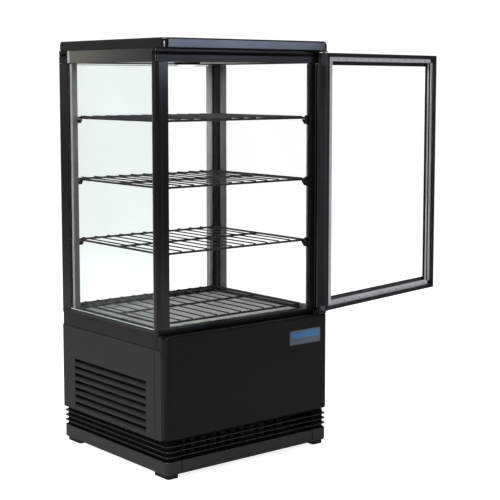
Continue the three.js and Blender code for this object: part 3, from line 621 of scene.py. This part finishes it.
# ---------------------------------------------------------------- side panels
def side_panels():
    y0, y1, t = 18.8, D - 19.4, 1.5
    for side in (0, 1):
        X = (lambda v: v) if side == 0 else (lambda v: W - v)
        b = Build(f"louvred_side_{'lr'[side]}", ["steel", "inner", "joint_and_painted_shade"])

        def bx(xa, xb, ya, yb, za, zb, mat=0, bevel=0.3, seg=2):
            a, c = sorted((X(xa), X(xb)))
            b.box(a, c, ya, yb, za, zb, mat=mat, bevel=bevel, seg=seg)
        slits = [180 - 15.83 * k for k in range(7)]
        top, bot = slits[0] + 2.4, slits[-1] - 7.7
        # sheet round the louvre field, with a fold line near the front edge
        bx(0, t, y0, 40.6, 68, 252, bevel=0.5)
        # the fold line is a recessed near-black strip: painted shade in the crease
        bx(0.55, t, 40.0, 42.0, 68.2, 251.8, mat=1, bevel=0)
        bx(0, t, 41.4, y1, top + 0.0, 252, bevel=0.35)
        bx(0, t, 41.4, 71.0, bot, top + 0.2, bevel=0.0)
        bx(0, t, 343.0, y1, bot, top + 0.2, bevel=0.0)
        bx(0, t, 41.4, y1, 68, bot + 0.0, bevel=0.35)
        # hems
        bx(0.2, 8.8, y0 + 0.1, y0 + t, 68.3, 251.7, bevel=0.2)
        bx(0.2, 8.8, y1 - t, y1 - 0.1, 68.3, 251.7, bevel=0.2)
        bx(0.2, 8.8, y0, y1, 252 - t, 251.9, bevel=0.2)
        bx(0.2, 8.4, y0, y1, 68.1, 68 + t, bevel=0.2)
        # near-black sheet behind the louvres: painted shade seen through the slits
        bx(9.0, 9.8, 58, 356, bot - 5, top + 5, mat=2, bevel=0.25)
        for k, s in enumerate(slits):
            # web between this louvre and the next
            if k + 1 < len(slits):
                bx(0, t, 71.0, 343.0, slits[k + 1] + 2.4, s - 7.7, bevel=0.25)
            # blade pressed inwards, a curved section, fair at both ends
            sec = []
            for i in range(9):
                u = i / 8
                sec.append((0.15 + 3.1 * (u ** 1.25), s - 8.4 + 3.5 * u))
            n = len(sec)
            rings = []
            ys = [70.4, 71.6, 73.4, 76.0, 80.0, 334.0, 338.0, 340.6, 342.4, 343.6]
            ks = [0.0, 0.45, 0.78, 0.94, 1.0, 1.0, 0.94, 0.78, 0.45, 0.0]
            for yy, q in zip(ys, ks):
                out_ = [(X(0.15 + (x - 0.15) * q), yy, z + (1 - q) * 0.0) for x, z in sec]
                back = [(X(0.15 + (x - 0.15) * q + 1.1), yy, z + 0.15) for x, z in reversed(sec)]
                rings.append(out_ + back)
            b.loft(rings)
        b.done("cabinet", "black_steel", f"side_panel_{('left', 'right')[side]}", smooth=40)


side_panels()


# ---------------------------------------------------------------- fin grille
def fins():
    b = Build("plinth_fins", ["grille", "joint_and_painted_shade"])
    for zc in (36.5, 47.4, 58.3):
        # fin with a rounded nose
        rings = []
        for k in range(9):
            a = math.radians(-90 + 180 * k / 8)
            d, dz = 1.25 * (1 - math.cos(a)), 1.25 * math.sin(a)
            rings.append([(x, y, zc + dz) for x, y in rr(1.5 + d, 1.5 + d, W - 1.5 - d, D - 1.5 - d, 12 - d, 10)])
        inner = [[(x, y, z) for x, y in rr(11, 11, W - 11, D - 11, 5, 10)] for z in (zc + 1.25, zc - 1.25)]
        b.loft([*rings, *inner, rings[0]], cap0=False, cap1=False)
    # set-back wall in slats with openings front and back, near-black: painted shade behind the fins
    o, i = rr(9, 9, W - 9, D - 9, 7, 8), rr(11.5, 11.5, W - 11.5, D - 11.5, 5, 8)
    b.ring(o, i, 27.3, 29.0, mat=1, bevel=0)
    for za, zb in ((35.0, 38.0), (45.9, 48.9), (56.8, 59.8), (65.6, 67.6)):
        b.ring(o, i, za, zb, mat=1, bevel=0)
    for x in (9.5, 114, 208, 302, 396.5):
        for y in (9, D - 11.5):
            b.box(x, x + (20.5 if x == 9.5 else 10 if x < 390 else W - 9.5 - 396.5), y, y + 2.5, 27.3, 67.5, mat=1, bevel=0.2)
    # end bars that close the fins beside the strip joints
    for x in (38.6, 392.0):
        b.box(x - 1.1, x + 1.1, 1.25, 9.4, 34.8, 60.2, mat=1, bevel=0.2)
    for x in (9, W - 11.5):
        b.box(x, x + 2.5, 12, D - 12, 27.3, 67.5, mat=1, bevel=0.2)
        # upright ribs between the fins on the sides, near-black as painted shade
        y = 30.0
        while y < D - 24:
            xo = x - 3.6 if x < 100 else x + 2.2
            b.box(xo, xo + 3.9, y, y + 1.6, 60.4, 67.4, mat=1, bevel=0.15, seg=1)
            y += 15.0
    b.done("cabinet", "black_plastic", "fin_grille", smooth=45)


fins()


# ---------------------------------------------------------------- base tray and feet
def base():
    b = Build("plinth_tray", ["plinth", "joint_and_painted_shade"])
    prof = [(3.0, 0.5), (1.6, 0.1), (0.6, 0.6), (0.1, 1.6), (0.0, 2.6), (0.0, 3.2), (0.0, 24.4), (0.0, 25.0), (0.25, 26.2), (0.9, 26.9), (1.8, 27.0), (2.5, 26.6), (2.6, 3.0)]
    rings = [[(x, y, z) for x, y in rr(2 + d, 2 + d, W - 2 - d, D - 2 - d, 12 - d, 12)] for d, z in prof]
    b.loft(rings)
    # plinth strip joints on the front
    for x in (38.6, 392.0):
        b.box(x - 1.05, x + 1.05, 1.72, 3.0, 1.2, 26.6, mat=1, bevel=0.1, seg=1)
    b.prism(rr(3, 3, W - 3, D - 3, 11, 10), 0.0, 0.6, bevel=0.15)
    b.done("cabinet", "black_steel", "base_tray", smooth=40)
    for name, x0, y0 in (("fl", 8, 8), ("fr", W - 36, 8), ("bl", 8, D - 58), ("br", W - 36, D - 58)):
        f = Build(f"pad_foot_{name}", ["rubber"])
        prof = [(1.2, -10.0), (0.4, -9.7), (0.0, -9.0), (0.0, -2.0), (0.3, -0.3)]
        f.loft([[(x, y, z) for x, y in rr(x0 + d, y0 + d, x0 + 28 - d, y0 + 50 - d, 6 - d, 6)] for d, z in prof])
        f.done("cabinet", "rubber", f"foot_{name}", smooth=40)


base()


# ---------------------------------------------------------------- shelves
def wire_shelf(name, node, z, x0, x1, y0, y1, legs=False):
    b = Build(name, ["wire"])
    r, t = 2.3, 1.4
    zc = z - 2.8 - r + 0.6
    loop = [(x, y, zc) for x, y in rr(x0 + r, y0 + r, x1 - r, y1 - r, 8, 6)]
    b.tube(loop, r, 12, closed=True)
    n = 12
    for i in range(n):
        x = x0 + 14 + (x1 - x0 - 28) * i / (n - 1)
        b.tube([(x, y0 + 1.4, z - t), (x, y0 + 40, z - t), (x, (y0 + y1) / 2, z - t), (x, y1 - 40, z - t), (x, y1 - 1.4, z - t)], t, 10)
    ym = (y0 + y1) / 2
    b.tube([(x0 + 2.4, ym, zc), (x0 + 60, ym, zc), (x1 - 60, ym, zc), (x1 - 2.4, ym, zc)], r, 12)
    if legs:
        for x, y in ((33.3, 62.3), (W - 33.3, 62.3), (33.3, D - 37.7), (W - 33.3, D - 37.7)):
            b.tube([(x, y, zc), (x, y, 288.0), (x, y, 285.6)], 2.2, 10)
    b.done("cabinet", "wire", node, smooth=50)


for nm, zs in zip(("top", "middle", "lower"), SHELF_Z):
    wire_shelf(f"wire_shelf_{nm}", f"shelf_{nm}", zs, 25.8, W - 25.8, 44.5, D - 28.5)
wire_shelf("wire_bottom_rack", "bottom_rack", RACK_Z, 29, W - 29, 54, D - 29, True)


# ---------------------------------------------------------------- fixed insulating glass
def pane_edges(b, x0, x1, y0, y1, z0, z1, wide):
    """A thin sheet with ground edges; wide is not used."""
    b.box(x0, x1, y0, y1, z0, z1, bevel=0.3, seg=1)


def fixed_glass():
    z0, z1, ya, yb = Z_SILL + 0.3, Z_HEAD - 0.3, 43.0, D - 38.8
    for side, nm in ((0, "left"), (1, "right")):
        X = (lambda v: v) if side == 0 else (lambda v: W - v)
        for kind, a, c in (("outer", 2.3, 6.3), ("inner", 20.8, 24.8)):
            b = Build(f"pane_{nm}_{kind}", ["glass_side"])
            p, q = sorted((X(a), X(c)))
            b.box(p, q, ya, yb, z0, z1, bevel=0.3, seg=1)
            b.done("cabinet", "glass", f"{nm}_glass_{kind}")
        s = Build(f"spacer_{nm}", ["bar", "dot", "alu"])
        A, B, C, E = ya + 1.6, yb - 1.6, z0 + 0.4, z1 - 0.4
        p, q = sorted((X(7.5), X(20.4)))
        s.box(p, q, A, A + 7.8, C, E, bevel=0.5)
        s.box(p, q, B - 7.8, B, C, E, bevel=0.5)
        o0, o1 = sorted((X(6.7), X(7.6)))
        s.box(o0, o1, B - 7.6, B - 0.2, C, E, mat=2, bevel=0.3)
        s.box(o0, o1, A + 0.2, A + 7.6, C, E, bevel=0.3)
        m = (p + q) / 2
        # row of vents along the inner faces of the bars, drawn as dark marks: painted shade in the vent holes
        zz = C + 24
        while zz < E - 20:
            s.box(m - 0.5, m + 0.5, A + 7.7, A + 7.95, zz, zz + 2.2, mat=1, bevel=0)
            s.box(m - 0.5, m + 0.5, B - 7.95, B - 7.7, zz, zz + 2.2, mat=1, bevel=0)
            zz += 14.0
        s.done("cabinet", "aluminium", f"{nm}_glass_spacer")
    xa, xb = 26.0, W - 26
    for kind, a, c in (("outer", D - 6.3, D - 2.3), ("inner", D - 24.8, D - 20.8)):
        b = Build(f"pane_back_{kind}", ["glass_side"])
        b.box(xa, xb, a, c, z0, z1, bevel=0.3, seg=1)
        b.done("cabinet", "glass", f"back_glass_{kind}")
    s = Build("spacer_back", ["alu", "dot"])
    p, q = D - 20.4, D - 6.7
    A, B, C, E = xa + 1.6, xb - 1.6, z0 + 1.6, z1 - 1.6
    s.box(A, A + 7.8, p, q, C, E, bevel=0.5)
    s.box(B - 7.8, B, p, q, C, E, bevel=0.5)
    s.box(A + 7.8, B - 7.8, p, q, C, C + 3.0, bevel=0.4)
    s.box(A + 7.8, B - 7.8, p, q, E - 1.4, E, bevel=0.3)
    m = (p + q) / 2
    # row of vents on the top face of the bottom bar, dark marks: painted shade in the vent holes
    xx = A + 24
    while xx < B - 20:
        s.box(xx, xx + 2.2, m - 0.5, m + 0.5, C + 2.9, C + 3.15, mat=1, bevel=0)
        xx += 14.0
    s.done("cabinet", "aluminium", "back_glass_spacer")


fixed_glass()


# ---------------------------------------------------------------- door
def door():
    g = 17.5
    hb = [(DX1 - BAR, DY0), (DX1 - 3, DY0), (DX1 - 1.6, DY0 + 0.35), (DX1 - 0.6, DY0 + 1.1), (DX1 - 0.1, DY0 + 2.2), (DX1, DY0 + 3.2),
          (DX1, g - 0.7), (DX1 - 1.2, g - 0.7), (DX1 - 1.2, g + 0.7), (DX1, g + 0.7), (DX1, DY1 - 2), (DX1 - 0.5, DY1 - 0.7), (DX1 - 1.7, DY1), (DX1 - BAR, DY1)]
    s = Build("door_bar_hinge", ["doorbar", "key"], swing)
    s.prism(hb, DZ0, DZ1, bevel=0.25, angle=28)
    # corner keys on the end face, over the joint line
    s.box(DX1 - 1.9, DX1 + 0.2, 13.0, 25.6, DZ1 - 27, DZ1 - 0.5, mat=1, bevel=0.7, seg=3)
    s.box(DX1 - 1.9, DX1 + 0.2, 13.0, 25.6, DZ0 + 0.5, DZ0 + 11, mat=1, bevel=0.7, seg=3)
    s.done("door", "black_plastic", "door_stile_hinge")
    s = Build("door_bar_latch", ["doorbar"], swing)
    s.prism([(DX0 + DX1 - x, y) for x, y in reversed(hb)], DZ0, DZ1, bevel=0.25, angle=28)
    s.done("door", "black_plastic", "door_stile_latch")
    xr0, xr1 = DX0 + BAR + 0.05, DX1 - BAR - 0.05
    tb = [(DY0, DZ1 - BAR), (DY1, DZ1 - BAR), (DY1, DZ1 - 2), (DY1 - 0.7, DZ1 - 0.5), (DY1 - 2, DZ1), (g + 0.7, DZ1), (g + 0.7, DZ1 - 1.2), (g - 0.7, DZ1 - 1.2), (g - 0.7, DZ1),
          (DY0 + 3.2, DZ1), (DY0 + 1.6, DZ1 - 0.4), (DY0 + 0.5, DZ1 - 1.3), (DY0, DZ1 - 3)]
    for nm, pts in (("top", tb), ("bottom", [(y, DZ0 + DZ1 - z) for y, z in reversed(tb)])):
        r = Build(f"door_bar_{nm}", ["doorbar"], swing)
        r.prism(pts, xr0, xr1, axis="x", bevel=0.25, angle=28)
        r.done("door", "black_plastic", f"door_rail_{nm}")
    a, c, e, f = DX0 + BAR + 0.3, DX1 - BAR - 0.3, DZ0 + BAR + 0.3, DZ1 - BAR - 0.3
    for kind, y0, y1 in (("outer", DY0 + 1, DY0 + 5), ("inner", DY1 - 6, DY1 - 2)):
        p = Build(f"door_pane_{kind}", ["glass_door"], swing)
        p.box(a, c, y0, y1, e, f, bevel=0.3, seg=1)
        p.done("door", "glass", f"door_glass_{kind}")
    # spacer: four bars with a row of vents, dark plastic corner keys
    s = Build("door_spacer_bars", ["bright", "dot", "frit", "inner"], swing)
    y0, y1, w = DY0 + 5.4, DY1 - 6.4, 9.0
    A, B, C, E = a + 0.3, c - 0.3, e + 0.3, f - 0.3
    k = 9.0
    s.box(A, A + w, y0, y1 - 0.6, C + k, E - k, mat=3, bevel=0.5)
    s.box(A + 0.4, A + 2.6, y1 - 0.9, y1, C + k, E - k, bevel=0.3)
    s.box(A + w - 4.6, A + w - 0.2, y1 - 0.9, y1, C + k, E - k, bevel=0.3)
    s.box(A + w - 0.2, A + w + 0.35, y1 - 8.2, y1 - 4.4, C + k, E - k, bevel=0.2)
    s.box(B - 19.0, B, y0, y1, C + k, E - k, bevel=0.5)
    s.box(A + k, B - k, y0, y1, C, C + w, bevel=0.5)
    s.box(A + k, B - k, y0, y1, E - w, E, bevel=0.5)
    for xa, xb in ((A, A + k), (B - k, B)):
        for za, zb in ((C, C + k), (E - k, E)):
            s.box(xa, xb, y0 + 0.2, y1 - 0.2, za, zb, mat=3, bevel=0.6)
    # vents on the faces that show through the panes, front and back, as dark marks: painted shade in the vent
    # holes
    for yv0, yv1 in ((y0 - 0.12, y0 + 0.1), (y1 - 0.1, y1 + 0.12)):
        x = A + 30
        while x < B - 24:
            for zc in (C + w / 2, E - w / 2):
                s.box(x - 0.8, x + 0.8, yv0, yv1, zc - 1.7, zc + 1.7, mat=1, bevel=0)
            x += 29.0
        z = C + 30
        while z < E - 24:
            for xc in (A + w / 2, B - w / 2):
                s.box(xc - 1.5, xc + 1.5, yv0, yv1, z - 0.7, z + 0.7, mat=1, bevel=0)
            z += 29.0
    # printed border on the inner side of the outer pane
    fy0, fy1 = DY0 + 5.05, DY0 + 5.3
    m = 26.0
    for xa, xb, za, zb in ((A, DX0 + 18.0, C, E), (DX1 - m, B, C, E), (DX0 + 18.0, DX1 - m, C, DZ0 + m), (DX0 + 18.0, DX1 - m, DZ1 - m, E)):
        s.box(xa, xb, fy0, fy1, za, zb, mat=2, bevel=0)
    s.done("door", "aluminium", "door_spacer")
    # seal: a soft tube on a base strip, mitred at the corners
    q = Build("door_seal", ["seal"], swing)
    i0 = 1.9
    for k2, (d0, d1, ya, yb) in enumerate(((0.0, 6.4, DY1 + 0.1, DY1 + 0.6), (1.2, 5.2, DY1 + 0.4, DY1 + 1.6))):
        o = rr(DX0 + i0 + d0, DZ0 + i0 + d0, DX1 - i0 - d0, DZ1 - i0 - d0, 1.0, 3)
        n = rr(DX0 + i0 + d1, DZ0 + i0 + d1, DX1 - i0 - d1, DZ1 - i0 - d1, 1.0, 3)
        q.ring(o, n, ya, yb, axis="y", bevel=0.22 if k2 == 0 else 0.5, seg=3)
    q.done("door", "rubber", "door_gasket")


door()


# ---------------------------------------------------------------- lamp and ceiling
def lamp():
    cx, cy = 209.0, 207.0
    h = Build("lamp_bezel", ["inner", "grey"])
    h.revolve([(0, 821.9), (23.4, 821.9), (23.5, 820.6), (24.4, 820.1), (26.4, 820.2), (27.6, 820.8), (28.0, 821.8), (28.0, 825.7), (0, 825.7)], (cx, cy, 0), seg=64)
    h.done("cabinet", "black_plastic", "lamp_housing", smooth=40)
    e = Build("lamp_cover", ["lens"])
    e.revolve([(0, 817.4), (6, 817.55), (12, 817.95), (17, 818.6), (20.5, 819.4), (22.4, 820.2), (23.0, 821.5), (0, 821.5)], (cx, cy, 0), seg=64)
    e.done("cabinet", "lens", "lamp_lens", smooth=50)


lamp()


# ---------------------------------------------------------------- rear controls
def rear():
    kx, kz = 330.0, 222.0
    k = Build("dial", ["inner", "white"])
    prof = [(0, -9), (3, -9), (3, 0.8), (13.4, 0.8), (14, 1.4), (14, 2.8), (13.6, 3.3), (11.2, 4.2), (10.9, 5), (10.4, 12.6), (9.9, 13.6), (9.0, 14), (0, 14)]
    ring = [(r, h) for r, h in prof]
    k.revolve(ring, (kx, D + 2.3, kz), axis="y", seg=64)
    for i in range(24):
        a = 2 * math.pi * i / 24
        x, z = kx + 10.75 * math.cos(a), kz + 10.75 * math.sin(a)
        k.tube([(x, D + 7.2, z), (x, D + 11, z), (x, D + 14.4, z)], 0.45, 6)
    k.box(kx - 1.0, kx + 1.0, D + 15.6, D + 16.9, kz, kz + 11.2, mat=1, bevel=0.3)
    k.done("thermostat_dial", "black_plastic", "thermostat_knob", smooth=40)
    # near-black sheet behind the rear slots, on a folded rim: painted shade seen through the slots
    q = Build("rear_painted_shade_sheet", ["joint_and_painted_shade"])
    q.box(86, 352, D - 6.4, D - 5.6, 88, 191, bevel=0.25)
    for xa, xb, za, zb in ((86, 352, 88, 89.4), (86, 352, 189.6, 191), (86, 87.4, 89, 190), (350.6, 352, 89, 190)):
        q.box(xa, xb, D - 5.7, D - 2.2, za, zb, bevel=0.25)
    q.done("cabinet", "black_steel")


rear()

# ---------------------------------------------------------------- carried-over CAD nodes
# the condenser, its fan frame and the drip tray get near-black finishes that stand in for shade: painted shade
FINISH = {
    "rear_panel": "steel", "thermostat_body": "inner", "light_rocker": "inner", "power_inlet": "inner",
    "evaporator_tub": "white", "deck_plate": "deck", "evaporator": "coil", "evap_fan_blade": "inner",
    "compressor": "grey", "condenser": "painted_shade_coil", "cond_fan_frame": "joint_and_painted_shade", "cond_fan_blade": "inner",
    "drip_tray": "joint_and_painted_shade", "refrigerant_line": "copper", "ceiling_panel": "white", "hinge_top": "hinge", "hinge_bottom": "hinge",
}
for n, o in NODES.items():
    if o.hide_render:
        continue
    o.data.materials.clear()
    o.data.materials.append(M[FINISH[n]])
    for p in o.data.polygons:
        p.material_index = 0
    bv = o.modifiers.new("edges", "BEVEL")
    bv.width = 0.0004
    bv.segments = 2
    bv.limit_method = "ANGLE"
    bv.angle_limit = math.radians(32)
    bv.harden_normals = True


# ---------------------------------------------------------------- stage, light, camera
def stage():
    m, nt, out = nt_of("stage_floor")
    p = nt.nodes.new("ShaderNodeBsdfPrincipled")
    p.inputs["Base Color"].default_value = (0.62, 0.62, 0.62, 1)
    p.inputs["Roughness"].default_value = 0.9
    p.inputs["Specular IOR Level"].default_value = 0.1
    lpf = nt.nodes.new("ShaderNodeLightPath")
    tc = nt.nodes.new("ShaderNodeTexCoord")
    far = nt.nodes.new("ShaderNodeVectorMath")
    far.operation = "LENGTH"
    nt.links.new(tc.outputs["Object"], far.inputs[0])
    # the camera-only glow is lower near the object than further out: a painted contact shadow on the floor
    painted_shadow_fade = nt.nodes.new("ShaderNodeMapRange")
    painted_shadow_fade.interpolation_type = "SMOOTHSTEP"
    painted_shadow_fade.inputs["From Min"].default_value = 0.45
    painted_shadow_fade.inputs["From Max"].default_value = 2.2
    painted_shadow_fade.inputs["To Min"].default_value = 0.86
    painted_shadow_fade.inputs["To Max"].default_value = 0.985
    nt.links.new(far.outputs["Value"], painted_shadow_fade.inputs["Value"])
    glow = nt.nodes.new("ShaderNodeMath")
    glow.operation = "MULTIPLY"
    nt.links.new(lpf.outputs["Is Camera Ray"], glow.inputs[0])
    nt.links.new(painted_shadow_fade.outputs["Result"], glow.inputs[1])
    p.inputs["Emission Color"].default_value = (1, 1, 1, 1)
    nt.links.new(glow.outputs[0], p.inputs["Emission Strength"])
    nt.links.new(p.outputs[0], out.inputs["Surface"])
    bpy.ops.mesh.primitive_circle_add(vertices=96, radius=30, fill_type="NGON", location=(0, 0, -0.0101))
    o = bpy.context.object
    o.name = "floor"
    o.data.materials.append(m)


stage()

w = bpy.data.worlds.new("studio")
bpy.context.scene.world = w
w.use_nodes = True
nt = w.node_tree
nt.nodes.clear()
wo = nt.nodes.new("ShaderNodeOutputWorld")
mixw = nt.nodes.new("ShaderNodeMixShader")
lp = nt.nodes.new("ShaderNodeLightPath")
seen = nt.nodes.new("ShaderNodeBackground")
seen.inputs["Color"].default_value = (1, 1, 1, 1)
seen.inputs["Strength"].default_value = 1.12
lit = nt.nodes.new("ShaderNodeBackground")
tcw = nt.nodes.new("ShaderNodeTexCoord")
sepw = nt.nodes.new("ShaderNodeSeparateXYZ")
nt.links.new(tcw.outputs["Generated"], sepw.inputs[0])
mrw = nt.nodes.new("ShaderNodeMapRange")
mrw.inputs["From Min"].default_value = -1.0
mrw.inputs["From Max"].default_value = 1.0
nt.links.new(sepw.outputs["Y"], mrw.inputs["Value"])
nt.links.new(ramp(nt, mrw.outputs["Result"], [(0.0, (0.10, 0.105, 0.12)), (0.42, (0.12, 0.125, 0.14)), (0.62, (0.26, 0.25, 0.24)), (1.0, (0.34, 0.33, 0.32))]), lit.inputs["Color"])
lit.inputs["Strength"].default_value = 1.0
nt.links.new(lp.outputs["Is Camera Ray"], mixw.inputs[0])
nt.links.new(lit.outputs[0], mixw.inputs[1])
nt.links.new(seen.outputs[0], mixw.inputs[2])
nt.links.new(mixw.outputs[0], wo.inputs["Surface"])


def area(name, loc, target, size, power, colour):
    d = bpy.data.lights.new(name, "AREA")
    d.shape = "RECTANGLE"
    d.size, d.size_y = size
    d.energy = power
    d.color = colour
    o = bpy.data.objects.new(name, d)
    bpy.context.scene.collection.objects.link(o)
    o.location = loc
    o.rotation_mode = "QUATERNION"
    o.rotation_quaternion = (Vector(target) - Vector(loc)).to_track_quat("-Z", "Y")
    return o


side = area("key_side", (-2.5, 0.15, 1.7), (-0.2, 0, 0.35), (1.2, 1.2), 58, (1.0, 0.96, 0.91))
side.visible_glossy = False
area("corner_strip", (-1.90, -1.30, 0.40), (-0.216, -0.17, 0.40), (0.42, 0.95), 4, (0.62, 0.69, 1.0))
edge_light = area("cap_corner", (-1.90, -1.27, 1.17), (-0.216, -0.17, 0.87), (0.62, 0.42), 26, (1.0, 0.99, 0.97))
edge_light.visible_diffuse = False
area("front_right", (1.22, -2.25, 0.985), (0.0, -0.2, 0.86), (1.3, 0.20), 5.6, (0.66, 0.76, 1.0))
fill = area("front_fill", (1.3, -2.3, 1.25), (0.3, -0.1, 0.55), (1.0, 1.0), 15, (1.0, 0.99, 0.98))
fill.visible_glossy = False
area("overhead", (0.1, 0.1, 3.0), (0, 0, 0), (2.2, 2.2), 40, (1.0, 1.0, 1.0))
inside = area("inside", (-0.005, 0.01, 0.812), (-0.005, 0.01, 0.3), (0.26, 0.24), 1.6, (1.0, 1.0, 1.0))
inside.visible_camera = False
inside.visible_glossy = False

cam = bpy.data.cameras.new("camera")
co = bpy.data.objects.new("camera", cam)
bpy.context.scene.collection.objects.link(co)
cam.sensor_fit = "HORIZONTAL"
cam.sensor_width = 36.0
cam.lens = 90.7083
cam.shift_x = 0.0
cam.shift_y = -0.07
YAW, PITCH = math.radians(39.3879), math.radians(6.0409)
co.location = (-1.63945, -2.19068, 0.78431)
look = Vector((math.sin(YAW) * math.cos(PITCH), math.cos(YAW) * math.cos(PITCH), -math.sin(PITCH)))
co.rotation_mode = "QUATERNION"
co.rotation_quaternion = look.to_track_quat("-Z", "Y")
bpy.context.scene.camera = co
bpy.context.scene.view_settings.view_transform = "Standard"
bpy.context.scene.view_settings.look = "None"
bpy.context.scene.cycles.transparent_max_bounces = 48
bpy.context.scene.cycles.max_bounces = 10
